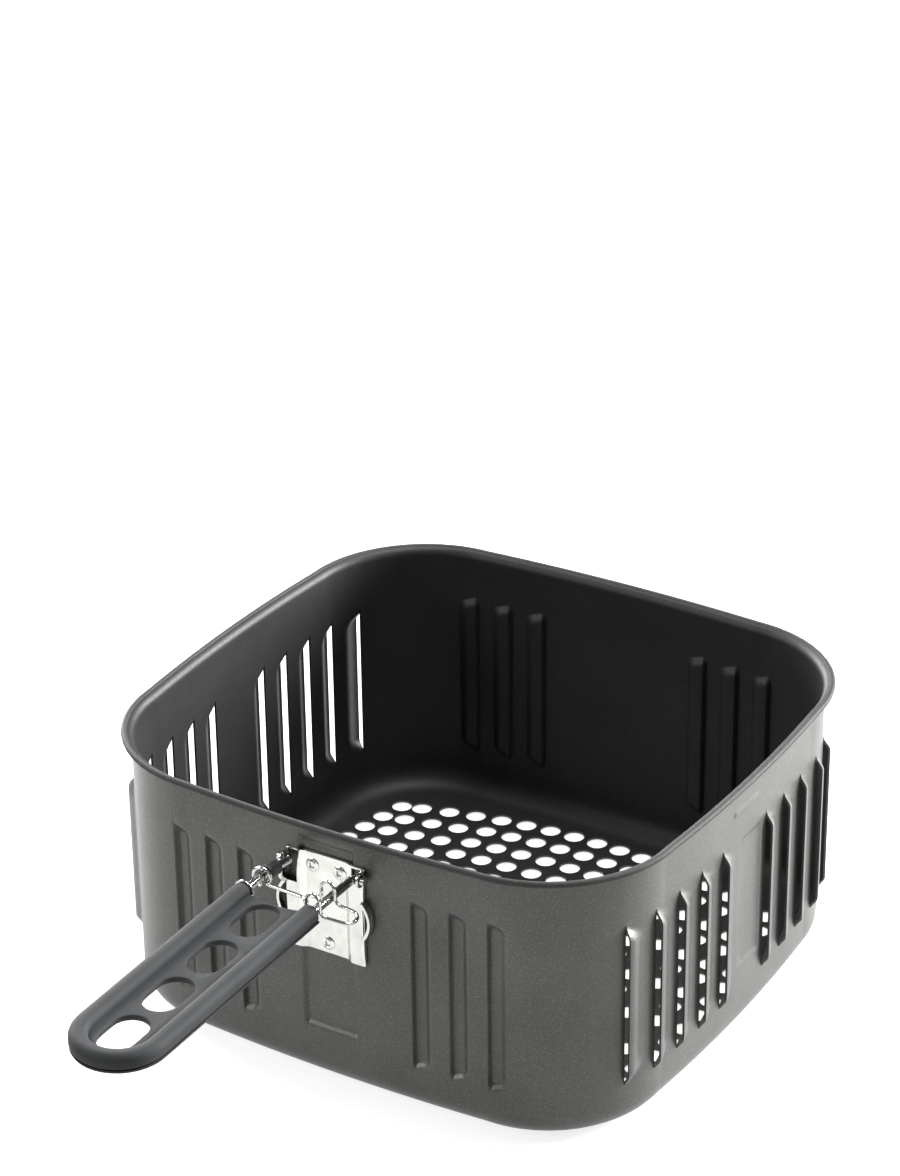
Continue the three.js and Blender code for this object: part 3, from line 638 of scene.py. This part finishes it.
class BasketSizes(bpy.types.PropertyGroup):
    hole_radius: bpy.props.FloatProperty(
        name="Hole radius", description="Radius of the floor's round holes",
        default=0.004, min=0.001, unit="LENGTH", subtype="DISTANCE")
    louvre_lift: bpy.props.FloatProperty(
        name="Louvre lift", description="How far a louvre's lip stands out of the wall",
        default=0.0028, unit="LENGTH", subtype="DISTANCE")
    sheet: bpy.props.FloatProperty(
        name="Sheet", description="Thickness of the drawn steel",
        default=0.0008, unit="LENGTH", subtype="DISTANCE")


class BasketColours(bpy.types.PropertyGroup):
    outside: bpy.props.FloatVectorProperty(
        name="Outside", description="Coating on the outside of the basket",
        default=linear("#343432")[:3], subtype="COLOR", min=0.0, max=1.0)
    inside: bpy.props.FloatVectorProperty(
        name="Inside", description="Coating on the inside of the basket",
        default=linear("#131413")[:3], subtype="COLOR", min=0.0, max=1.0)
    plating: bpy.props.FloatVectorProperty(
        name="Plating", description="Plate on the bracket and the rivets",
        default=linear("#bcbbb8")[:3], subtype="COLOR", min=0.0, max=1.0)
    grip: bpy.props.FloatVectorProperty(
        name="Grip", description="Moulding of the grip",
        default=linear("#242526")[:3], subtype="COLOR", min=0.0, max=1.0)


class BASKET_OT_shell(bpy.types.Operator):
    """Build the drawn, louvred and perforated basket"""

    bl_idname = "basket.shell"
    bl_label = "Basket shell"

    def execute(self, context):
        sizes = context.scene.basket_sizes
        looks = finishes(context)
        points, faces, ring = wall_sheet(sizes.louvre_lift / MM)
        shell = new_piece("basket_shell_sheet", points, faces, looks["outside"])
        shell.data.materials.append(looks["inside"])
        floor = floor_sheet(ring, sizes.hole_radius, looks["outside"])
        bm = bmesh.new()
        bm.from_mesh(shell.data)
        walls = set(bm.faces)
        bm.from_mesh(floor.data)
        for face in bm.faces:
            face.material_index = 0
            if face not in walls and face.normal.z > 0:
                face.normal_flip()
        bmesh.ops.remove_doubles(bm, verts=bm.verts, dist=2e-6)
        bm.to_mesh(shell.data)
        bm.free()
        bpy.data.objects.remove(floor)
        add_modifier(shell, "SOLIDIFY", thickness=sizes.sheet, offset=-1.0, use_even_offset=False,
                     material_offset=1, material_offset_rim=0)
        bake_modifiers(shell)
        soften(shell, 38)
        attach(shell, "basket")
        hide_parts("basket_shell")
        return {"FINISHED"}


class BASKET_OT_rim(bpy.types.Operator):
    """Build the rolled rim of the basket"""

    bl_idname = "basket.rim"
    bl_label = "Rolled rim"

    def execute(self, context):
        columns = [(wall, s) for wall in range(4) for s, side in wall_columns(wall) if side > 0]
        points = []
        for wall, s in columns:
            for k in range(BEAD_SIDES):
                a = math.tau * k / BEAD_SIDES
                z = BASKET_H - BEAD_R + BEAD_R * math.sin(a)
                points.append(wall_point(wall, s, BEAD_R * math.cos(a) - BEAD_OUT, z))
        faces = loft(len(columns), BEAD_SIDES, closed=True)
        rim = new_piece("rolled_rim", points, faces, finishes(context)["rim"])
        soften(rim, 60, outward=True)
        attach(rim, "basket")
        return {"FINISHED"}


# ---------------------------------------------------------------- bracket

def bracket_line():
    """Plan line of the bracket's front face from left to right, with rounded bends."""
    half = [
        Vector((BRACKET_FLAT, PLATE_FACE_Y, 0)),
        Vector((BRACKET_CREST_X, BRACKET_CREST_Y, 0)),
        Vector((BRACKET_HALF, BRACKET_CREST_Y, 0)),
        Vector((BRACKET_HALF, BRACKET_BACK_Y, 0)),
    ]
    rough = round_corners([Vector((-p.x, p.y, 0)) for p in reversed(half)] + half, BRACKET_BEND, 4)
    line = []
    for a, b in zip(rough, rough[1:]):
        steps = max(1, int((b - a).length / 0.8))
        line += [a.lerp(b, k / steps) for k in range(steps)]
    return line + [rough[-1]]


def bracket_levels():
    """Heights of the bracket's grid: its ends, its openings' edges and steps between them."""
    low, high = BRACKET_Z
    return sorted({low, low + 0.6, SLOT_LEFT, SLOT_RIGHT, SLOT_TOP, high - 0.5, high, STRAP_Z[0] + STRAP_LIP,
                   STRAP_Z[1] - STRAP_LIP} | {low + 2 + 2.4 * k for k in range(15)})


def bracket_open(middle, z):
    """Whether the bracket is cut away here: the rods' slots and the gaps behind the straps."""
    x = abs(middle.x)
    slot = SLOT_LEFT if middle.x < 0 else SLOT_RIGHT
    on_crest = middle.y < BRACKET_CREST_Y + 0.5
    on_side = x > BRACKET_HALF - 0.3 and middle.y < BRACKET_CREST_Y + 1.6
    in_slot = on_crest and SLOT_INNER_X < x < BRACKET_HALF - SLOT_WEB and slot < z < SLOT_TOP
    return in_slot or (on_side and STRAP_Z[0] + STRAP_LIP < z < STRAP_Z[1] - STRAP_LIP)


class BASKET_OT_bracket(bpy.types.Operator):
    """Build the plated bracket with its slots, ears and straps"""

    bl_idname = "basket.bracket"
    bl_label = "Handle bracket"

    def execute(self, context):
        nickel = finishes(context)["nickel"]
        line, levels = bracket_line(), bracket_levels()
        points = []
        for p in line:
            for z in levels:
                proud = 0.55 + 0.25 * ease((z - BRACKET_Z[0]) / 6) - 0.45 * ease((z - 84) / 7)
                y = p.y if p.y > PLATE_FACE_Y else PLATE_FACE_Y + (p.y - PLATE_FACE_Y) * proud
                points.append((p.x, y, z))
        faces = []
        m = len(levels)
        for i, (a, b) in enumerate(zip(line, line[1:])):
            for k, (low, high) in enumerate(zip(levels, levels[1:])):
                if not bracket_open((a + b) / 2, (low + high) / 2):
                    faces.append((i * m + k, (i + 1) * m + k, (i + 1) * m + k + 1, i * m + k + 1))
        plate = new_piece("bracket_plate", points, faces, nickel)
        add_modifier(plate, "SOLIDIFY", thickness=PLATE_T * MM, offset=-1.0, use_even_offset=True)
        add_bevel(plate, 0.00018, 2, 50)
        bake_modifiers(plate)
        soften(plate, 40)
        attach(plate, "basket")
        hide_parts("handle_bracket")
        for side, word, corner_r, front, ends in EARS:
            self.ear(side, word, nickel, corner_r, front, ends)
            self.strap(side, word, nickel)
        return {"FINISHED"}

    def ear(self, side, word, nickel, radius, front, ends):
        """Lobe of the side wall with the hook's hole, its two front corners rounded."""
        low, high = ends

        def holds(y, z):
            if not (front <= y <= BRACKET_BACK_Y and low <= z <= high):
                return False
            corner_z = min(max(z, low + radius), high - radius)
            return y >= front + radius or math.hypot(y - front - radius, z - corner_z) <= radius

        hole, edge = [], []
        for k in range(EAR_SIDES):
            dy, dz = math.cos(math.tau * k / EAR_SIDES), math.sin(math.tau * k / EAR_SIDES)
            hole.append((HOOK_Y + EAR_HOLE_R * dy, HOOK_Z + EAR_HOLE_R * dz))
            steps = 1
            while holds(HOOK_Y + (steps + 1) * EAR_STEP * dy, HOOK_Z + (steps + 1) * EAR_STEP * dz):
                steps += 1
            edge.append((HOOK_Y + steps * EAR_STEP * dy, HOOK_Z + steps * EAR_STEP * dz))
        inner, outer = side * (BRACKET_HALF - PLATE_T), side * BRACKET_HALF
        points = [(x, y, z) for x, loop in ((inner, hole), (inner, edge), (outer, edge), (outer, hole))
                  for y, z in loop]
        ear = new_piece("bracket_ear_" + word, points, loft(4, EAR_SIDES, closed=True), nickel)
        soften(ear, 40, outward=True)
        add_bevel(ear, 0.00015, 2, 50)
        bake_modifiers(ear)
        soften(ear, 40)
        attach(ear, "basket")

    def strap(self, side, word, nickel):
        """Strip of the side wall bulged outward between its two ends."""
        points = []
        for k in range(STRAP_STEPS + 1):
            t = k / STRAP_STEPS
            z = STRAP_Z[0] + (STRAP_Z[1] - STRAP_Z[0]) * t
            x = BRACKET_HALF - 0.8 + STRAP_OUT * math.sin(math.pi * t) ** 0.8
            slope = 0.45 * math.cos(math.pi * t) * STRAP_T
            points += [(side * x, y, z) for y in STRAP_Y]
            points += [(side * (x + STRAP_T), y, z - slope) for y in reversed(STRAP_Y)]
        strap = new_piece("bracket_strap_" + word, points, loft(STRAP_STEPS + 1, 4, capped=True), nickel)
        soften(strap, 40, outward=True)
        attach(strap, "basket")


# ---------------------------------------------------------------- rivets

def rivet_tree():
    """One rivet on every point."""
    tree, start, names = node_group("Rivets on points", {"Rivet": "Object", "Plate": "Material"})
    model = add_node(tree, "GeometryNodeObjectInfo", links={"Object": start.outputs["Rivet"]})
    spots = add_node(tree, "GeometryNodeMeshToPoints", links={"Mesh": start.outputs["Geometry"]})
    copies = add_node(tree, "GeometryNodeInstanceOnPoints",
                      links={"Points": spots.outputs[0], "Instance": model.outputs["Geometry"]})
    end_group(tree, copies.outputs[0], start.outputs["Plate"])
    return tree, names


class BASKET_OT_rivets(bpy.types.Operator):
    """Build the three eyelet rivets"""

    bl_idname = "basket.rivets"
    bl_label = "Rivets"

    def execute(self, context):
        nickel = finishes(context)["nickel"]
        face = PLATE_FACE_Y - 0.05
        back = SEAT_Y + 0.8
        profile = [
            (0.0, face + 0.3), (0.75, face + 0.25), (0.95, face - 0.1), (1.1, face - 0.5),
            (1.35, face - 0.68), (1.7, face - 0.6), (2.05, face - 0.36), (2.4, face - 0.3),
            (2.6, face - 0.15), (2.6, face), (1.5, face), (1.5, back),
            (2.0, back + 0.05), (1.95, back + 0.6), (1.2, back + 0.95), (0.0, back + 1.0),
        ]
        points, faces = revolve(profile, 28, Vector((0, 0, 0)))
        rivet = new_piece("rivet_shape", points, faces, nickel)
        soften(rivet, 50, outward=True)
        mesh = bpy.data.meshes.new("rivet_layout")
        mesh.from_pydata([(x * MM, 0, z * MM) for x, z in RIVETS], [], [])
        rivets = link_object("eyelet_rivets", mesh)
        tree, names = rivet_tree()
        run_group(rivets, tree, names, {"Rivet": rivet, "Plate": nickel})
        soften(rivets, 50)
        bpy.data.objects.remove(rivet)
        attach(rivets, "basket")
        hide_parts("rivet_top_left", "rivet_top_right", "rivet_bottom")
        return {"FINISHED"}


# ---------------------------------------------------------------- handle

def droop(p):
    """Lowers a point of the straight grip by the grip's slight droop."""
    dy, dz = p.y - GRIP_Y[0], p.z - ROD_Z
    y = GRIP_Y[0] + dy * math.cos(GRIP_DROOP) - dz * math.sin(GRIP_DROOP)
    z = ROD_Z + dz * math.cos(GRIP_DROOP) + dy * math.sin(GRIP_DROOP)
    return Vector((p.x, y, z))


def handle_corners():
    """Bends of the handle wire from the right hook round to the left one."""
    end = GRIP_Y[1] + RAIL_W / 2
    right = [
        Vector((HOOK_TIP, HOOK_Y, HOOK_Z)),
        Vector((HOOK_X, HOOK_Y, HOOK_Z)),
        Vector((ROD_X, ROD_RISE_Y, ROD_Z)),
        droop(Vector((ROD_X, GRIP_Y[0], ROD_Z))),
        droop(Vector((ROD_X, end + 11, ROD_Z))),
        droop(Vector((ROD_X - 5, end + 2, ROD_Z))),
        droop(Vector((ROD_X - 10, end, ROD_Z))),
    ]
    return right + [Vector((-p.x, p.y, p.z)) for p in reversed(right)]


class BASKET_OT_handle_wire(bpy.types.Operator):
    """Build the bent wire of the handle"""

    bl_idname = "basket.handle_wire"
    bl_label = "Handle wire"

    def execute(self, context):
        points, faces = tube(round_corners(handle_corners(), WIRE_BEND), WIRE_R, 24)
        wire = new_piece("handle_wire_bent", points, faces, finishes(context)["chrome"])
        soften(wire, 50, outward=True)
        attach(wire, "handle")
        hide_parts("handle_wire")
        return {"FINISHED"}


def grip_outline(inset, root=GRIP_Y[0]):
    """U-shaped plan of the grip, moved inward, from the right root round to the left."""
    r = GRIP_HALF - inset
    bend_y = GRIP_Y[1] + GRIP_HALF
    straight, arc = 22, 28
    right = [Vector((r, root + (bend_y - root) * k / straight, 0)) for k in range(straight)]
    bend = [Vector((r * math.cos(math.pi * k / arc), bend_y - r * math.sin(math.pi * k / arc), 0))
            for k in range(arc + 1)]
    return right + bend + [Vector((-p.x, p.y, 0)) for p in reversed(right)]


def rounded_loop(corners):
    """Closed section through (centre, height, first angle, radius, steps) quarter turns."""
    loop = []
    for centre, height, first, radius, steps in corners:
        for k in range(steps + 1):
            a = math.radians(first + 90 * k / steps)
            loop.append((centre + radius * math.cos(a), height + radius * math.sin(a)))
    return loop


class BASKET_OT_grip(bpy.types.Operator):
    """Build the two mouldings of the grip"""

    bl_idname = "basket.grip"
    bl_label = "Grip"

    def execute(self, context):
        nylon = finishes(context)["nylon"]
        low, high = ROD_Z - GRIP_T / 2, ROD_Z + GRIP_T / 2
        split = low + COVER_T
        under, over = split - COVER_GAP, split + COVER_GAP
        crown, foot = 2.7, 0.9
        body = self.rail("grip_rails", nylon, rounded_loop([
            (RAIL_W - crown, high - crown, 0, crown, 6), (crown, high - crown, 90, crown, 6),
            (foot, over + foot, 180, foot, 3), (RAIL_W - foot, over + foot, 270, foot, 3),
        ]))
        add_bevel(body, 0.0008, 3, 60)
        bake_modifiers(body)
        soften(body, 42)
        web = self.web(nylon)
        cover = self.rail("grip_cover_shell", nylon, [
            (0.9, low), (0.35, low + 0.3), (0.12, low + 0.8), (0.12, under),
            (RAIL_W - 0.2, under), (RAIL_W - 0.2, low + 0.4), (RAIL_W - 0.7, low),
        ])
        for piece in (body, web, cover):
            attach(piece, "handle")
        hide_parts("grip_body")
        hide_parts("grip_cover")
        return {"FINISHED"}

    def rail(self, name, nylon, section):
        """U-shaped moulding with a section of (inset, height) points."""
        outlines = [grip_outline(inset) for inset, _ in section]
        points = []
        for row in zip(*outlines):
            points += [droop(Vector((p.x, p.y, z))) for p, (_, z) in zip(row, section)]
        rail = new_piece(name, points, loft(len(outlines[0]), len(section), capped=True), nylon)
        soften(rail, 42, outward=True)
        return rail

    def web(self, nylon):
        """Recessed plate between the rails with oblong finger holes and a concave root."""
        outline = [(p.x, p.y) for p in grip_outline(RAIL_W - 0.6, GRIP_Y[0] - 0.6)]
        left, right = outline[-1], outline[0]
        for k in range(1, 16):
            t = k / 16
            outline.append((left[0] + (right[0] - left[0]) * t, left[1] - 1.6 * math.sin(math.pi * t)))
        loops = [outline]
        for y in FINGER_HOLES:
            loops.append([
                (FINGER_R * math.cos(a), centre + FINGER_R * math.sin(a))
                for centre, turn in ((y + FINGER_STRAIGHT, 0), (y - FINGER_STRAIGHT, math.pi))
                for a in (turn + math.pi * i / 12 for i in range(13))
            ])
        bm = bmesh.new()
        edges = []
        for loop in loops:
            verts = [bm.verts.new((x, y, ROD_Z + WEB_RISE)) for x, y in loop]
            edges += [bm.edges.new((verts[i - 1], verts[i])) for i in range(len(verts))]
        bmesh.ops.triangle_fill(bm, edges=edges, use_beauty=True, use_dissolve=True, normal=(0, 0, 1))
        bm.verts.index_update()
        points = [droop(v.co) for v in bm.verts]
        faces = [[v.index for v in f.verts] for f in bm.faces]
        bm.free()
        web = new_piece("grip_web", points, faces, nylon)
        add_modifier(web, "SOLIDIFY", thickness=WEB_T * MM, offset=-1.0)
        add_bevel(web, 0.00045, 3, 60)
        bake_modifiers(web)
        soften(web, 40)
        return web


class BASKET_OT_rod_fittings(bpy.types.Operator):
    """Build the collar and the rubber bush on the left rod"""

    bl_idname = "basket.rod_fittings"
    bl_label = "Collar and bush"

    def execute(self, context):
        looks = finishes(context)
        profile = [(1.75, 0.0), (3.2, 0.0), (3.75, 0.25), (3.85, 0.6), (3.7, 0.95), (3.0, 1.1), (2.3, 1.5),
                   (2.05, 2.6), (1.75, 2.6), (1.75, 0.0)]
        points, faces = revolve(profile, 32, Vector((-ROD_X, GRIP_Y[0] + 0.2, ROD_Z)))
        collar = new_piece("grip_collar", points, faces, looks["chrome"])
        soften(collar, 45, outward=True)
        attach(collar, "handle")
        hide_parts("rod_collar")
        start, end = map(Vector, BUSH_ENDS)
        profile = [(1.65, 0.0), (2.35, 0.0), (2.55, 0.3), (2.55, 4.4), (2.75, 4.7), (2.75, 5.7), (2.55, 6.0),
                   (1.65, 6.0), (1.65, 0.0)]
        points, faces = revolve(profile, 32, start, (end - start).normalized())
        bush = new_piece("rubber_bush", points, faces, looks["rubber"])
        soften(bush, 45, outward=True)
        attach(bush, "handle")
        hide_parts("rod_bush")
        return {"FINISHED"}


def clip_route():
    """Centre line of the clip's wire: coil on the left rod, cross wire, and two arches on the right."""
    left, rod = -ROD_X + 0.1, ROD_X
    coil = []
    for k in range(COIL_STEPS, -1, -1):
        t = k / COIL_STEPS
        a = math.tau * COIL_TURN * t + math.pi * COIL_START
        coil.append(Vector((left + COIL_R * math.cos(a), COIL_Y + COIL_LENGTH * (1 - t),
                            ROD_Z + COIL_R * math.sin(a))))
    near, far = ARCH_Y
    inner, outer = rod - ARCH_HALF, rod + ARCH_HALF
    top, level = ROD_Z + ARCH_TOP, ROD_Z - 1
    corners = [
        (left + 3.6, CROSS_WIRE_Y, level), (5.5, CROSS_WIRE_Y - 0.6, level),
        (inner, near, level + 1), (inner, near, top - 1), (rod, near, top + 1.2),
        (outer, near, top - 1), (outer, near, level),
        (TAB_X, near + 0.9, level - 0.4), (TAB_X + 0.8, (near + far) / 2 + 0.6, level - 0.4),
        (TAB_X - 2, far - 0.4, level - 0.4),
        (outer, far, level), (outer, far, top - 1), (rod, far, top + 1.2),
        (inner, far, top - 1), (inner, far, level + 1), (inner - 4, far, level),
    ]
    return coil[:-1] + round_corners([coil[-1]] + [Vector(p) for p in corners], CLIP_BEND)


class BASKET_OT_clip(bpy.types.Operator):
    """Build the spring wire clip"""

    bl_idname = "basket.clip"
    bl_label = "Latch clip"

    def execute(self, context):
        points, faces = tube(clip_route(), CLIP_R, 14)
        clip = new_piece("spring_wire_clip", points, faces, finishes(context)["chrome"])
        soften(clip, 50, outward=True)
        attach(clip, "clip")
        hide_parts("latch_clip")
        return {"FINISHED"}


# ---------------------------------------------------------------- studio

class StudioLights(bpy.types.PropertyGroup):
    side_power: bpy.props.FloatProperty(
        name="Side panels", description="Power of the light panel on the right, which the others follow",
        default=150.0, unit="POWER")
    top_power: bpy.props.FloatProperty(
        name="Top panel", description="Power of the light above", default=30.0, unit="POWER")


class BASKET_OT_studio(bpy.types.Operator):
    """Build the pale floor, the soft lights and the camera"""

    bl_idname = "basket.studio"
    bl_label = "Studio"

    def execute(self, context):
        lights = context.scene.basket_lights
        corners = [(x * TABLE_HALF, y * TABLE_HALF, TABLE_Z) for x, y in ((-1, -1), (1, -1), (1, 1), (-1, 1))]
        new_piece("studio_floor", corners, [(0, 1, 2, 3)], studio_table("pale_studio_table"), 1.0)
        world = bpy.data.worlds.new("light_tent")
        world.use_nodes = True
        background = world.node_tree.nodes["Background"]
        background.inputs["Color"].default_value = linear("#ffffff")
        background.inputs["Strength"].default_value = 0.3
        context.scene.world = world
        for name, (place, size, share) in SIDE_PANELS.items():
            self.panel(context, name, place, PANEL_TARGET, size, lights.side_power * share)
        self.panel(context, "top_panel", TOP_PANEL_PLACE, Vector((0, 0, 0)), TOP_PANEL_SIZE, lights.top_power)
        self.camera(context)
        context.scene.view_settings.view_transform = "Standard"
        return {"FINISHED"}

    def panel(self, context, name, place, target, size, power):
        """Square soft light turned towards a target."""
        data = bpy.data.lights.new(name, "AREA")
        data.shape = "SQUARE"
        data.size = size
        data.energy = power
        light = bpy.data.objects.new(name, data)
        light.location = place
        light.rotation_euler = (target - Vector(place)).to_track_quat("-Z", "Y").to_euler()
        context.collection.objects.link(light)

    def camera(self, context):
        """Camera above the basket's front right corner."""
        data = bpy.data.cameras.new("camera")
        data.sensor_width = 36.0
        data.lens = CAMERA_LENS
        data.shift_x, data.shift_y = CAMERA_SHIFT
        data.clip_start = 0.05
        camera = bpy.data.objects.new("camera", data)
        turn = Matrix((CAMERA_RIGHT, CAMERA_UP, -CAMERA_AHEAD)).transposed()
        camera.matrix_world = Matrix.Translation(CAMERA_PLACE) @ turn.to_4x4()
        context.collection.objects.link(camera)
        context.scene.camera = camera


# ---------------------------------------------------------------- add-on

OPERATORS = (
    BASKET_OT_studio,
    BASKET_OT_shell,
    BASKET_OT_rim,
    BASKET_OT_bracket,
    BASKET_OT_rivets,
    BASKET_OT_handle_wire,
    BASKET_OT_grip,
    BASKET_OT_rod_fittings,
    BASKET_OT_clip,
)

PROPERTIES = {
    "basket_sizes": BasketSizes,
    "basket_colours": BasketColours,
    "basket_lights": StudioLights,
}


class BASKET_PT_panel(bpy.types.Panel):
    """Lists the basket's sizes, colours, lights and pieces in the sidebar"""

    bl_label = "Air Fryer Basket"
    bl_idname = "BASKET_PT_panel"
    bl_space_type = "VIEW_3D"
    bl_region_type = "UI"
    bl_category = "Basket"

    def draw(self, context):
        for group, kind in PROPERTIES.items():
            for name in kind.__annotations__:
                self.layout.prop(getattr(context.scene, group), name)
        for operator in OPERATORS:
            self.layout.operator(operator.bl_idname)


CLASSES = (*PROPERTIES.values(), *OPERATORS, BASKET_PT_panel)


def register():
    for item in CLASSES:
        bpy.utils.register_class(item)
    for name, kind in PROPERTIES.items():
        setattr(bpy.types.Scene, name, bpy.props.PointerProperty(type=kind))


def unregister():
    for name in PROPERTIES:
        delattr(bpy.types.Scene, name)
    for item in reversed(CLASSES):
        bpy.utils.unregister_class(item)


def main():
    register()
    for operator in OPERATORS:
        family, name = operator.bl_idname.split(".")
        getattr(getattr(bpy.ops, family), name)()


if __name__ == "__main__":
    main()
